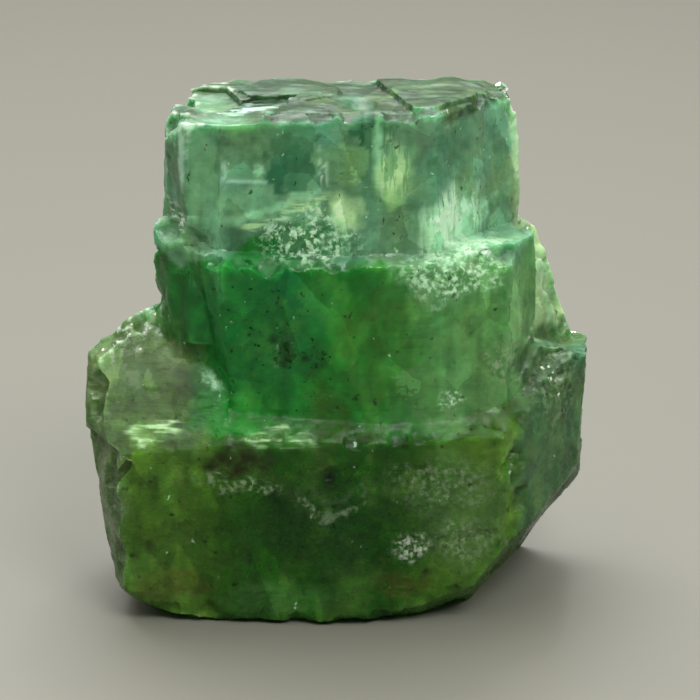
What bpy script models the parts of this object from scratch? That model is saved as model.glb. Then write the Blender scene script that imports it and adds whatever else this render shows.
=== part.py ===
"""A raw emerald crystal, about 14 mm wide and 15 mm tall, grown as one piece and standing on a flat base.

The stone is three stepped hexagonal growth blocks, one on the other, with a sloping shoulder on its left,
another on its right and a slope at its back right. Each block is a cube cut down to its crystal faces. The
blocks are joined in one solid. Chips, scoops and thin missing layers are then taken out of its edges and
faces.

Metres, +Z up. The origin is on the resting plane, under the middle of the stone's bounding box, and the
front of the stone looks along -Y. The blocks are drawn about an axis of their own, and the finished stone is
moved to the origin last.
"""

import random
from collections import namedtuple
from math import cos, pi, radians, sin

import bmesh
import bpy
from mathutils import Matrix, Vector

MM = 0.001
SEED = 4107

# ---- Driving dimensions, in millimetres ----
STONE_TOP = 14.65
UPPER_HALF_WIDTH = 5.2
UPPER_FRONT = -2.55
UPPER_BACK = 3.5
MIDDLE_FRONT = -2.95
MIDDLE_BACK = 4.3
STEP_UPPER_MIDDLE = 10.5
LOWER_FRONT = -3.45
LOWER_BACK = 5.2
STEP_MIDDLE_LOWER = 5.6
SHOULDER_TOP = 8.75
PLATE_THICKNESS = 0.32
ROUGH_CUBE = 40
WELD = 0.001

# ---- A cleavage plate: its corners, how its top draws in, how its outline wanders, its tilt in degrees ----
PLATE_CORNERS = 7
PLATE_TAPER = 0.94
PLATE_WANDER = 0.12
PLATE_TILT = 1.0

# ---- A chip, as shares of its edge's own bite and radius ----
CHIP_BITE = (0.2, 2.0)
CHIP_RADIUS = (0.4, 1.2)
CHIP_FLOOR = (0.35, 0.7)
CHIP_MOUTH = 1.5
CHIP_DEPTH = 1.2
CHIP_UNEVEN = (0.75, 1.25)
CHIP_SKEW = 0.4
CHIP_CORNERS = (4, 5, 6)

# Headings of a hexagonal prism's faces, in degrees from +X, with -90 at the front.
FRONT, FRONT_RIGHT, BACK_RIGHT, BACK, BACK_LEFT, FRONT_LEFT = -90, -30, 30, 90, 150, 210
RIGHT, LEFT = 0, 180
UP, DOWN = 90, -90

# A crystal face goes through a point and looks along a heading, leaning up (+) or down (-) by some degrees.
Face = namedtuple("Face", "x y z heading lean")
# A run of an edge that is chipped: its corner points, the way out of the stone there, how many chips it has,
# how deep they bite and how wide they are.
ChippedEdge = namedtuple("ChippedEdge", "points outward count bite radius")


def blocks():
    """Return the growth blocks: each one's name and its crystal faces."""
    return {
        "upper_block": [
            Face(-4.6, -2.2, 12, FRONT - 4, 0),
            Face(0.9, UPPER_FRONT, 12, FRONT + 6, -1),
            Face(2.45, -2.4, 12, FRONT_RIGHT - 3, 1),
            Face(4.8, 1.1, 12, RIGHT + 6, 0),
            Face(4.1, 2.9, 12, BACK_RIGHT + 12, 3),
            Face(0, UPPER_BACK, 12, BACK, 2),
            Face(-2.2, 3.4, 12.8, BACK + 14, 9),
            Face(2.6, 3.3, 11.6, BACK - 16, -7),
            Face(-4.6, 2.9, 12, BACK_LEFT - 4, 2),
            Face(-UPPER_HALF_WIDTH, 0, 12, LEFT, 2),
            Face(-5.05, -1.3, 12, FRONT_LEFT + 2, 0),
            Face(-5.0, 0, 14.18, LEFT, 48),
            Face(-4.0, 0, 14.55, LEFT - 6, 78),
            Face(0, UPPER_FRONT, STONE_TOP, BACK, UP - 2.2),
            Face(4.7, 1.0, 14.15, FRONT_RIGHT + 15, 48),
            Face(2.6, 3.3, 14.3, BACK, 50),
            Face(0, 0, 8.0, FRONT, DOWN),
        ],
        "upper_right_cap": [
            Face(0.75, 0, 12, LEFT + 12, 10),
            Face(0.9, UPPER_FRONT - 0.05, 12, FRONT + 7, 0),
            Face(2.4, -2.4, 12, FRONT_RIGHT - 3, 3),
            Face(4.6, 1.1, 13, RIGHT + 6, 6),
            Face(4.0, 2.8, 13, BACK_RIGHT + 12, 6),
            Face(2.0, UPPER_BACK - 0.3, 12, BACK - 12, 4),
            Face(1.2, UPPER_FRONT, STONE_TOP + 0.2, BACK - 10, UP - 2.5),
            Face(0.9, 0, STONE_TOP, LEFT + 12, 55),
            Face(4.45, 1.0, 14.15, RIGHT, 48),
            Face(2.0, 2.6, 14.45, BACK, 48),
            Face(3.7, 2.0, 14.3, BACK_RIGHT + 10, 48),
            Face(0, 0, 12.0, FRONT, DOWN),
        ],
        "middle_block": [
            Face(-3.65, -2.5, 8, FRONT_LEFT + 8, -7),
            Face(-1.8, MIDDLE_FRONT, 8, FRONT - 5, -4),
            Face(0.6, MIDDLE_FRONT - 0.05, 8, FRONT + 3, 1),
            Face(3.0, MIDDLE_FRONT + 0.1, 8, FRONT + 17, 2),
            Face(4.6, -1.9, 9, FRONT_RIGHT + 4, 1),
            Face(5.0, 1.0, 9, RIGHT + 8, 2),
            Face(3.0, MIDDLE_BACK - 0.6, 9, BACK_RIGHT + 25, 0),
            Face(0, MIDDLE_BACK, 9, BACK + 4, 4),
            Face(1.4, 4.1, 9.6, BACK - 14, 24),
            Face(-2.8, 4.1, 8.6, BACK + 20, -6),
            Face(-5.0, 3.0, 9, BACK_LEFT, 0),
            Face(-5.3, 0, 9, LEFT, 0),
            Face(0.6, MIDDLE_FRONT, STEP_UPPER_MIDDLE, FRONT, 70),
            Face(0, 0, STEP_UPPER_MIDDLE + 0.3, BACK, UP - 2),
            Face(0, 0, 5.0, FRONT, DOWN),
        ],
        "left_column": [
            Face(-5.3, -1.45, 9.5, FRONT_LEFT + 4, -6),
            Face(-4.6, -2.2, 10.5, FRONT - 16, -8),
            Face(-4.15, -2.2, 10, FRONT_RIGHT + 10, 0),
            Face(-5.66, 0, 10, LEFT, -1),
            Face(-4.2, 0.9, 10, BACK_LEFT, 6),
            Face(-3.6, 0, 10, RIGHT, 0),
            Face(-5.1, -1.6, 11.55, BACK_LEFT - 20, 72),
            Face(-4.5, -2.2, 11.2, FRONT + 24, 52),
            Face(0, 0, 5.0, FRONT, DOWN),
        ],
        "lower_block": [
            Face(-6.65, -2.6, 3, FRONT_LEFT - 6, -6),
            Face(-2.5, LOWER_FRONT + 0.12, 4.6, FRONT - 3, -4),
            Face(1.5, LOWER_FRONT + 0.05, 4.6, FRONT + 3, -4),
            Face(4.75, -2.5, 4, FRONT_RIGHT - 6, -3),
            Face(6.75, 1.9, 4, RIGHT - 4, -3),
            Face(6.3, 4.4, 4, BACK_RIGHT + 10, -4),
            Face(0, LOWER_BACK, 4, BACK + 3, 1),
            Face(3.4, 4.9, 3.4, BACK - 22, -9),
            Face(-2.6, 5.0, 5.4, BACK + 16, 20),
            Face(-3.4, 4.9, 2.0, BACK + 24, -14),
            Face(-5.9, 4.2, 4, BACK_LEFT - 8, 2),
            Face(-7.0, 1.6, 2.6, LEFT - 16, -20),
            Face(-7.25, 0, 4, LEFT, -9),
            Face(-7.38, 0, 5.0, LEFT, 3),
            Face(-6.75, -2.6, 4.8, FRONT_LEFT - 6, 8),
            Face(0, LOWER_FRONT, STEP_MIDDLE_LOWER, FRONT, 52),
            Face(-6.5, -3.1, 5.15, FRONT - 8, 35),
            Face(3.6, -3.1, 6.05, FRONT + 26, 48),
            Face(-6.0, -0.8, 7.3, BACK, UP - 8),
            Face(1.2, -2.85, 0.12, FRONT + 32, -54),
            Face(4.05, 0.5, 0.1, RIGHT - 20, -35),
            Face(-6.0, -2.8, 0.6, FRONT_LEFT - 4, -52),
            Face(-5.0, -3.0, 0.32, FRONT_LEFT + 15, -50),
            Face(-6.75, -0.5, 0.9, LEFT, -50),
            Face(-2.0, -3.15, 0.1, FRONT, -55),
            Face(-2.0, -2.45, 0, FRONT, -77),
            Face(1.2, -2.2, 0, FRONT + 32, -74),
            Face(-4.6, -2.3, 0, FRONT_LEFT + 15, -75),
            Face(0, 5.0, 0.5, BACK, -50),
            Face(0, 0, 0, FRONT, DOWN),
        ],
        "left_shoulder": [
            Face(-6.5, -3.15, 5.15, FRONT - 8, 35),
            Face(-7.4, 0.2, 7, LEFT - 4, -3),
            Face(-7.2, -1.6, 6.5, FRONT_LEFT - 8, 8),
            Face(-6.2, 3.0, 6, BACK_LEFT - 10, 3),
            Face(-4.5, 4.0, 6, BACK, 2),
            Face(-3.4, 0, 6, RIGHT, 0),
            Face(-7.1, -0.9, 7.75, LEFT - 20, 50),
            Face(-5.6, -0.9, SHOULDER_TOP, BACK_LEFT - 10, 58),
            Face(-5.0, LOWER_FRONT + 0.35, 5, FRONT - 3, -4),
            Face(-7.35, 0, 5.3, LEFT, -42),
            Face(-6.9, -2.6, 5.3, FRONT_LEFT - 8, -45),
            Face(0, 0, 4.0, FRONT, DOWN),
        ],
        "right_shoulder": [
            Face(4.8, -1.8, 5.5, FRONT_RIGHT - 5, 0),
            Face(6.7, 1.9, 6, RIGHT - 4, 1),
            Face(6.3, 3.6, 6, BACK_RIGHT + 8, 2),
            Face(3.0, 4.7, 6, BACK - 4, 2),
            Face(3.0, 0, 6, LEFT, 0),
            Face(5.2, -0.5, 7.65, BACK_RIGHT, 70),
            Face(6.6, 2.2, 6.75, RIGHT + 10, 40),
            Face(4.9, -1.3, 7.3, FRONT, 48),
            Face(4.9, -2.2, 6, FRONT, 0),
            Face(0, 0, 4.6, FRONT, DOWN),
        ],
        "back_slope": [
            Face(5.25, 2.2, 10.3, RIGHT - 8, 23),
            Face(5.0, 0.8, 8.5, FRONT_RIGHT - 10, 6),
            Face(5.9, 2.6, 8.6, RIGHT + 16, 20),
            Face(3.4, 4.3, 8.0, BACK - 12, 12),
            Face(2.2, 3.0, 8.0, LEFT, 0),
            Face(4.6, 2.2, 10.6, BACK_RIGHT, 60),
            Face(0, 0, 6.3, FRONT, DOWN),
        ],
        "back_ledge": [
            Face(-3.6, 4.2, 6, BACK_LEFT + 8, 0),
            Face(-1.0, 5.0, 6, BACK + 4, 4),
            Face(2.6, 4.6, 6, BACK_RIGHT + 22, 2),
            Face(4.6, 3.0, 6, RIGHT + 4, 2),
            Face(0, 4.2, 8.6, BACK + 8, 66),
            Face(0, 1.0, 6, FRONT, 0),
            Face(0, 0, 4.2, FRONT, DOWN),
        ],
    }


def terraces():
    """Return the thin layers that are missing from faces: each one's name and the faces of its cutter."""
    return {
        "upper_left_terrace": [
            Face(-4.6, -2.14, 12, BACK - 4, 0),
            Face(-3.62, 0, 12, RIGHT, 1),
            Face(-4.0, 0, 11.5, LEFT + 30, -82),
            Face(-4.9, 0, 12, LEFT, 0),
        ],
        "upper_middle_terrace": [
            Face(0.9, UPPER_FRONT + 0.06, 12, BACK + 6, -1),
            Face(-0.72, 0, 12, LEFT, 2),
            Face(0.3, 0, 12, RIGHT, -2),
            Face(0, 0, 11.5, RIGHT, -70),
        ],
        "upper_crack": [
            Face(-0.72, UPPER_FRONT + 0.1, 12, BACK, 0),
            Face(-0.80, 0, 12, LEFT, 3),
            Face(-0.66, 0, 12, RIGHT, 2),
            Face(-0.7, 0, 13.4, LEFT, 70),
            Face(-0.7, 0, 10.9, LEFT, -80),
        ],
        "upper_right_terrace": [
            Face(4.0, 0.15, 12, BACK_LEFT - 3, 0),
            Face(3.4, 0, 12, LEFT + 25, 6),
            Face(4.5, 0, 11.7, BACK, -76),
        ],
        "upper_back_terrace": [
            Face(1.0, UPPER_BACK - 0.14, 12, FRONT, 0),
            Face(0.4, 3.0, 12, LEFT, 10),
            Face(1.0, 3.0, 11.6, RIGHT + 30, -76),
        ],
        "middle_right_terrace": [
            Face(4.9, -1.2, 9, BACK_LEFT + 4, 0),
            Face(4.6, -1.3, 9, LEFT + 30, -8),
            Face(4.9, 0, 9.4, BACK, 78),
            Face(4.9, 0, 8.0, BACK, -82),
        ],
        "lower_left_terrace": [
            Face(-4.7, -3.12, 3, BACK - 3, 4),
            Face(-4.6, 0, 3, RIGHT, 7),
            Face(-5.2, 0, 4.3, RIGHT, 66),
        ],
        "lower_right_terrace": [
            Face(1.5, LOWER_FRONT + 0.1, 4.6, BACK + 3, 4),
            Face(2.4, 0, 2.4, LEFT, 24),
            Face(3.0, 0, 2.9, LEFT + 30, 84),
        ],
        "top_low_step": [
            Face(-3.1, 0, 14.33, RIGHT, DOWN + 2),
            Face(-3.1, 0, 14, RIGHT + 14, 0),
            Face(-3.5, 1.6, 14, BACK - 20, 0),
        ],
        "top_high_step": [
            Face(-1.3, 0, 14.44, RIGHT, DOWN + 2),
            Face(-1.5, 0, 14, RIGHT - 22, 0),
            Face(-2.0, 0.1, 14, BACK + 10, 0),
        ],
    }


def facing(heading, lean):
    """Return the unit vector that looks along a heading and leans up by some degrees."""
    level = cos(radians(lean))
    return Vector((level * cos(radians(heading)), level * sin(radians(heading)), sin(radians(lean))))


def new_collection(name):
    """Return a new collection in the scene."""
    collection = bpy.data.collections.new(name)
    bpy.context.scene.collection.children.link(collection)
    return collection


def new_object(name, bm, collection):
    """Turn a bmesh into a named object in a collection."""
    mesh = bpy.data.meshes.new(name)
    bm.to_mesh(mesh)
    bm.free()
    obj = bpy.data.objects.new(name, mesh)
    collection.objects.link(obj)
    return obj


def emerald_material():
    """Return the clear green of the stone."""
    material = bpy.data.materials.new("emerald")
    material.use_nodes = True
    shader = material.node_tree.nodes["Principled BSDF"]
    shader.inputs["Base Color"].default_value = (0.09, 0.26, 0.08, 1)
    shader.inputs["Roughness"].default_value = 0.25
    shader.inputs["Metallic"].default_value = 0.0
    return material


def crystal_block(name, faces, collection):
    """Cut a cube down to the crystal faces of one block."""
    bm = bmesh.new()
    bmesh.ops.create_cube(bm, size=ROUGH_CUBE * MM)
    for face in faces:
        cleaved = bmesh.ops.bisect_plane(
            bm,
            geom=bm.verts[:] + bm.edges[:] + bm.faces[:],
            dist=WELD * MM,
            plane_co=Vector((face.x, face.y, face.z)) * MM,
            plane_no=facing(face.heading, face.lean),
            clear_outer=True,
        )
        rim = [item for item in cleaved["geom_cut"] if isinstance(item, bmesh.types.BMEdge)]
        bmesh.ops.edgeloop_fill(bm, edges=rim)
    bmesh.ops.recalc_face_normals(bm, faces=bm.faces)
    return new_object(name, bm, collection)


def cleavage_plate(name, centre, radii, turn, rng, collection):
    """Make one thin plate of the stacked layers on top, with an uneven outline."""
    bm = bmesh.new()
    bmesh.ops.create_cone(
        bm, cap_ends=True, segments=PLATE_CORNERS, radius1=1, radius2=PLATE_TAPER, depth=1,
        matrix=Matrix.Rotation(radians(turn), 4, "Z"),
    )
    for vert in bm.verts:
        wander = 1 + rng.uniform(-PLATE_WANDER, PLATE_WANDER)
        vert.co.x *= wander
        vert.co.y *= wander
    size = Matrix.Diagonal((radii[0] * MM, radii[1] * MM, PLATE_THICKNESS * MM, 1))
    tilt = Matrix.Rotation(radians(rng.uniform(-PLATE_TILT, PLATE_TILT)), 4, "X")
    bm.transform(Matrix.Translation(Vector(centre) * MM) @ tilt @ size)
    return new_object(name, bm, collection)


def chip_cutter(name, tip, outward, radius, rng, collection):
    """Make the cutter of one chip: a blunt uneven cone whose small end is the flat floor of the chip."""
    bm = bmesh.new()
    corners = rng.choice(CHIP_CORNERS)
    floor = radius * rng.uniform(*CHIP_FLOOR) * MM
    mouth = radius * CHIP_MOUTH * MM
    depth = radius * CHIP_DEPTH * MM
    bmesh.ops.create_cone(bm, cap_ends=True, segments=corners, radius1=floor, radius2=mouth, depth=depth)
    for vert in bm.verts:
        vert.co.x *= rng.uniform(*CHIP_UNEVEN)
        vert.co.y *= rng.uniform(*CHIP_UNEVEN)
        vert.co.z += depth / 2
    spin = Matrix.Rotation(rng.uniform(0, 2 * pi), 4, "Z")
    turn = Vector(outward).to_track_quat("Z", "Y").to_matrix().to_4x4()
    bm.transform(Matrix.Translation(Vector(tip) * MM) @ turn @ spin)
    return new_object(name, bm, collection)


def shell_cutter(name, centre, radii, collection):
    """Make the rounded cutter that leaves one shell-like break."""
    bm = bmesh.new()
    bmesh.ops.create_icosphere(bm, subdivisions=3, radius=MM, matrix=Matrix.Diagonal((*radii, 1)))
    bmesh.ops.translate(bm, verts=bm.verts, vec=Vector(centre) * MM)
    return new_object(name, bm, collection)


def chipped_edges():
    """Return the edges of the stone that are chipped."""
    return {
        "top_front": ChippedEdge(
            [(-4.6, -2.2, 14.5), (0.9, -2.55, 14.6), (2.4, -2.4, 14.7)],
            outward=(0, -1, 1), count=13, bite=0.08, radius=0.8),
        "top_right": ChippedEdge(
            [(2.6, -2.2, 14.6), (4.8, 1.0, 14.15), (4.0, 2.9, 14.1)],
            outward=(1, -0.3, 1), count=9, bite=0.08, radius=0.6),
        "top_left": ChippedEdge(
            [(-4.7, -2.2, 14.2), (-5.1, 0, 13.8), (-4.4, 2.8, 13.9)],
            outward=(-1, -0.3, 1), count=9, bite=0.1, radius=0.7),
        "top_back": ChippedEdge(
            [(-4.2, 3.1, 14.1), (3.8, 3.2, 14.1)],
            outward=(0, 1, 1), count=9, bite=0.14, radius=0.9),
        "upper_left": ChippedEdge(
            [(-5.1, -1.3, 14.0), (-5.1, -1.3, 11.6)],
            outward=(-1, -0.7, 0), count=4, bite=0.05, radius=0.7),
        "upper_right": ChippedEdge(
            [(4.75, 0.9, 14.0), (4.75, 0.9, 10.8)],
            outward=(1, -0.4, 0), count=6, bite=0.06, radius=0.8),
        "upper_ridge": ChippedEdge(
            [(2.4, -2.45, 14.4), (2.4, -2.45, 10.8)],
            outward=(0.6, -1, 0), count=5, bite=0.04, radius=0.9),
        "step_upper": ChippedEdge(
            [(-4.0, -2.5, 10.5), (-1.6, -2.95, 10.5), (1.0, -3.0, 10.5), (3.2, -2.8, 10.5),
             (4.6, -1.9, 10.5)],
            outward=(0, -1, 0.8), count=17, bite=0.08, radius=0.45),
        "column": ChippedEdge(
            [(-5.4, -1.3, 11.4), (-4.6, -2.2, 11.1), (-4.0, -2.2, 10.9)],
            outward=(-0.3, -1, 1), count=5, bite=0.08, radius=0.6),
        "column_left": ChippedEdge(
            [(-5.5, -0.9, 11.3), (-5.5, -0.9, 8.4)],
            outward=(-1, -0.6, 0), count=5, bite=0.06, radius=0.7),
        "step_lower": ChippedEdge(
            [(-6.5, -3.1, 5.15), (-4.0, -3.3, 5.7), (0, -3.4, 5.6), (2.0, -3.3, 5.7)],
            outward=(0, -1, 0.8), count=14, bite=0.07, radius=0.42),
        "step_lower_right": ChippedEdge(
            [(2.2, -3.35, 5.7), (3.4, -3.2, 5.85), (4.6, -2.6, 6.1)],
            outward=(0.2, -1, 0.6), count=5, bite=0.05, radius=0.35),
        "shoulder_back": ChippedEdge(
            [(-7.2, -1.0, 7.6), (-6.4, -0.8, 8.1), (-5.6, -0.8, 8.7)],
            outward=(-0.6, -0.4, 1), count=6, bite=0.1, radius=0.7),
        "shoulder_left": ChippedEdge(
            [(-7.1, -1.9, 5.6), (-7.2, -1.2, 7.4)],
            outward=(-1, -0.6, 0.4), count=5, bite=0.08, radius=0.7),
        "lower_left": ChippedEdge(
            [(-6.6, -2.7, 5.0), (-6.5, -2.5, 0.9)],
            outward=(-1, -1, 0), count=7, bite=0.06, radius=0.9),
        "lower_right": ChippedEdge(
            [(4.7, -2.6, 6.2), (4.65, -2.4, 1.6)],
            outward=(0.8, -1, 0), count=8, bite=0.07, radius=0.9),
        "foot_front": ChippedEdge(
            [(-6.0, -2.9, 0.6), (-2.6, -3.1, 0.2), (1.2, -3.1, 0.2), (3.8, -3.0, 1.1)],
            outward=(0, -1, -0.8), count=15, bite=0.08, radius=0.8),
        "foot_right": ChippedEdge(
            [(4.4, -2.6, 1.8), (5.8, -0.8, 2.8), (6.7, 1.8, 2.8)],
            outward=(1, -0.5, -0.8), count=9, bite=0.12, radius=0.8),
        "right_corner": ChippedEdge(
            [(6.7, 1.5, 6.4), (6.7, 1.5, 3.0)],
            outward=(1, -0.4, 0), count=7, bite=0.1, radius=0.7),
        "right_rim": ChippedEdge(
            [(5.3, -2.1, 6.2), (6.0, -1.0, 6.75), (6.7, 0.0, 7.1)],
            outward=(0.8, -0.6, 0.8), count=8, bite=0.1, radius=0.6),
        "slope": ChippedEdge(
            [(5.0, 1.8, 10.2), (5.7, 2.2, 8.6), (6.2, 2.2, 7.2)],
            outward=(1, -0.6, 0.6), count=9, bite=0.12, radius=0.6),
        "back_foot": ChippedEdge(
            [(-5.6, 4.3, 0.5), (0, 4.9, 0.4), (5.2, 4.6, 1.4)],
            outward=(0, 1, -0.8), count=9, bite=0.14, radius=0.9),
        "back_right_corner": ChippedEdge(
            [(6.6, 3.9, 6.2), (6.3, 4.0, 2.8)],
            outward=(1, 0.8, 0), count=6, bite=0.14, radius=0.9),
        "back_left_corner": ChippedEdge(
            [(-7.0, 2.4, 6.6), (-6.6, 2.4, 1.0)],
            outward=(-1, 0.6, 0), count=7, bite=0.14, radius=0.9),
        "upper_back_left": ChippedEdge(
            [(-5.1, 2.1, 13.8), (-5.1, 2.1, 11.0)],
            outward=(-1, 0.6, 0), count=5, bite=0.08, radius=0.8),
        "back_low": ChippedEdge(
            [(-5.6, 4.3, 6.6), (0, 5.2, 7.0), (5.4, 4.7, 6.8)],
            outward=(0, 1, 1), count=12, bite=0.2, radius=1.0),
        "back_mid": ChippedEdge(
            [(-4.6, 3.4, 10.8), (0, 4.1, 10.8), (3.2, 3.7, 10.7)],
            outward=(0, 1, 1), count=9, bite=0.18, radius=0.9),
    }


def point_along(points, share):
    """Return the point at a share, 0 to 1, of the way along a run of straight pieces."""
    corners = [Vector(point) for point in points]
    lengths = [(b - a).length for a, b in zip(corners, corners[1:])]
    left = share * sum(lengths)
    for start, end, length in zip(corners, corners[1:], lengths):
        if left <= length:
            return start.lerp(end, left / length)
        left -= length
    return corners[-1]


def add_chips(rng, collection):
    """Place the cutters that chip the edges."""
    for name, edge in chipped_edges().items():
        outward = Vector(edge.outward).normalized()
        for index in range(edge.count):
            share = (index + rng.uniform(0.0, 1.0)) / edge.count
            tip = point_along(edge.points, share) - outward * edge.bite * rng.uniform(*CHIP_BITE)
            way_out = outward + Vector([rng.uniform(-CHIP_SKEW, CHIP_SKEW) for _ in range(3)])
            radius = edge.radius * rng.uniform(*CHIP_RADIUS)
            chip_cutter(f"chip_{name}_{index:02d}", tip, way_out, radius, rng, collection)


def add_shells(collection):
    """Place the cutters of the large shell-like breaks."""
    for name, centre, radii in (
        ("lip_dip", (-1.0, -4.6, 6.3), (2.1, 1.5, 0.95)),
        ("lip_left", (-5.6, -4.5, 5.9), (1.3, 1.5, 0.85)),
        ("shoulder_face", (-6.3, -5.0, 8.6), (2.2, 2.9, 2.2)),
        ("front_dimple", (-0.55, -3.58, 4.55), (0.36, 0.24, 0.3)),
        ("slope_shell", (7.4, 1.2, 9.4), (1.8, 2.0, 1.6)),
        ("top_pocket", (0.35, -0.6, 15.5), (0.75, 1.8, 1.1)),
        ("top_left_pocket", (-4.0, -0.4, 15.2), (1.2, 1.4, 1.0)),
    ):
        shell_cutter(f"shell_{name}", centre, radii, collection)


def clear_scene():
    """Remove what the file opened with."""
    for obj in list(bpy.data.objects):
        bpy.data.objects.remove(obj, do_unlink=True)


def join_with(obj, operation, collection):
    """Give the stone a modifier that joins a whole collection to it, or cuts it out."""
    modifier = obj.modifiers.new(operation.lower(), "BOOLEAN")
    modifier.operation = operation
    modifier.operand_type = "COLLECTION"
    modifier.collection = collection
    modifier.solver = "EXACT"


def drop_folded_faces(bm):
    """Delete the pairs of triangles that lie back to back on the same three corners."""
    by_corners = {}
    for face in bm.faces:
        by_corners.setdefault(frozenset(face.verts), []).append(face)
    folded = [face for faces in by_corners.values() if len(faces) > 1 for face in faces]
    bmesh.ops.delete(bm, geom=folded, context="FACES")


def drop_splinters(bm):
    """Delete the crumbs that the chips cut loose, and keep the stone."""
    waiting = set(bm.verts)
    bodies = []
    while waiting:
        reached = [waiting.pop()]
        for vert in reached:
            near = {edge.other_vert(vert) for edge in vert.link_edges} & waiting
            waiting -= near
            reached.extend(near)
        bodies.append(reached)
    bodies.sort(key=len)
    crumbs = [vert for body in bodies[:-1] for vert in body]
    bmesh.ops.delete(bm, geom=crumbs, context="VERTS")


def stand_at_origin(stone, helpers):
    """Move the stone, and what shaped it, so that its bounding box stands in the middle of the ground."""
    lows, highs = zip(*((min(axis), max(axis)) for axis in zip(*(vert.co for vert in stone.data.vertices))))
    shift = Vector((-(lows[0] + highs[0]) / 2, -(lows[1] + highs[1]) / 2, -lows[2]))
    stone.data.transform(Matrix.Translation(shift))
    for helper in helpers:
        helper.location = shift


def settle_mesh(obj):
    """Apply the joins and cuts, and leave a clean mesh of triangles."""
    depsgraph = bpy.context.evaluated_depsgraph_get()
    mesh = bpy.data.meshes.new_from_object(obj.evaluated_get(depsgraph))
    bm = bmesh.new()
    bm.from_mesh(mesh)
    bmesh.ops.remove_doubles(bm, verts=bm.verts, dist=WELD * MM)
    bmesh.ops.triangulate(bm, faces=bm.faces, ngon_method="BEAUTY")
    drop_folded_faces(bm)
    drop_splinters(bm)
    bm.to_mesh(mesh)
    bm.free()
    obj.modifiers.clear()
    obj.data = mesh


def main():
    """Build the stone."""
    clear_scene()
    rng = random.Random(SEED)
    stone_parts = new_collection("raw_emerald_crystal")
    growths = new_collection("growth_blocks")
    breaks = new_collection("breaks")
    faces_of = blocks()
    stone = crystal_block("emerald_crystal", faces_of.pop("lower_block"), stone_parts)
    for name, faces in faces_of.items():
        crystal_block(name, faces, growths)
    cleavage_plate("plate_low", (-2.0, 0.3, 14.38), (2.3, 2.3), 10, rng, growths)
    cleavage_plate("plate_mid", (-1.6, 0.8, 14.5), (1.6, 1.7), 40, rng, growths)
    add_chips(rng, breaks)
    add_shells(breaks)
    for name, faces in terraces().items():
        crystal_block(name, faces, breaks)
    helpers = [*growths.objects, *breaks.objects]
    for helper in helpers:
        helper.hide_render = True
        helper.display_type = "WIRE"
    join_with(stone, "UNION", growths)
    join_with(stone, "DIFFERENCE", breaks)
    settle_mesh(stone)
    stand_at_origin(stone, helpers)
    stone.data.materials.clear()
    stone.data.materials.append(emerald_material())


main()
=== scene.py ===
"""The looks of a raw emerald crystal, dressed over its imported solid.

A skin grown from the solid carries the thin layers, splinters and pits of the surface. Inside it are veils of
tiny bright flakes and dark mineral specks, and a few pale grains cling to its outside. The stone stands on a
plain pale floor in soft studio light.

Sizes in the classes are in millimetres, and meshes are in metres, in the solid's own frame: +X to the right,
-Y out of the front and +Z up.
"""

import logging
import random
from collections.abc import Callable, Iterable, Mapping
from dataclasses import dataclass, field
from enum import Enum
from math import floor, pi, radians, sin, cos

import bmesh
import bpy
import numpy as np
from mathutils import Matrix, Vector, noise
from mathutils.bvhtree import BVHTree


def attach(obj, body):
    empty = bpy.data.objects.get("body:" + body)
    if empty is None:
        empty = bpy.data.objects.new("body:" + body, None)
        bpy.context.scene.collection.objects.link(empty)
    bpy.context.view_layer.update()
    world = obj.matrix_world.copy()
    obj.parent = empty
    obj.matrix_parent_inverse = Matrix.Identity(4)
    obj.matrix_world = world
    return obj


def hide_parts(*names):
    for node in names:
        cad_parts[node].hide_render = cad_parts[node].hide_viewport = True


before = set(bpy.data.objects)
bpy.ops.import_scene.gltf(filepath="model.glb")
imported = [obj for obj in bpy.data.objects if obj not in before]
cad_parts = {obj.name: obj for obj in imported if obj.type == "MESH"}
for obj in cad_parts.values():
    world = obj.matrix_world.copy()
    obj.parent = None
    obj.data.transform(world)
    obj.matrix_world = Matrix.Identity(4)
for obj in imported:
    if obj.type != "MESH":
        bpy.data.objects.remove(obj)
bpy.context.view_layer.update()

MM = 0.001
STONE = "emerald_crystal"
BODY = "root"
NOISE_SEED = 7
HEM_HEIGHT = 10.45
STEP_HEIGHT = 5.6

Colour = tuple[float, float, float]
Triple = tuple[float, float, float]

log = logging.getLogger("emerald")


class Blend(Enum):
    """The ways that one colour is laid over another."""

    OVER = "MIX"
    STAIN = "MULTIPLY"


class Signal:
    """The output of a node, which adds a Math node for each sum that it is used in."""

    def __init__(self, bench: "Bench", socket: bpy.types.NodeSocket) -> None:
        """Keep the socket and the bench that its nodes are made on."""
        self.bench = bench
        self.socket = socket

    def __add__(self, other: "Signal | float") -> "Signal":
        """Return the sum of the two."""
        return self.bench.math("ADD", self, other)

    __radd__ = __add__

    def __sub__(self, other: "Signal | float") -> "Signal":
        """Return this less the other."""
        return self.bench.math("SUBTRACT", self, other)

    def __rsub__(self, other: float) -> "Signal":
        """Return a number less this."""
        return self.bench.math("SUBTRACT", other, self)

    def __mul__(self, other: "Signal | float") -> "Signal":
        """Return the product of the two."""
        return self.bench.math("MULTIPLY", self, other)

    __rmul__ = __mul__

    def rise(self, low: float, high: float) -> "Signal":
        """Return a smooth rise from 0 at low to 1 at high, or a fall where low is the larger."""
        return self.bench.node(
            "ShaderNodeMapRange",
            {"interpolation_type": "SMOOTHSTEP"},
            {"Value": self, "From Min": low, "From Max": high},
        )

    def most(self, other: "Signal | float") -> "Signal":
        """Return the larger of the two."""
        return self.bench.math("MAXIMUM", self, other)


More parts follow.
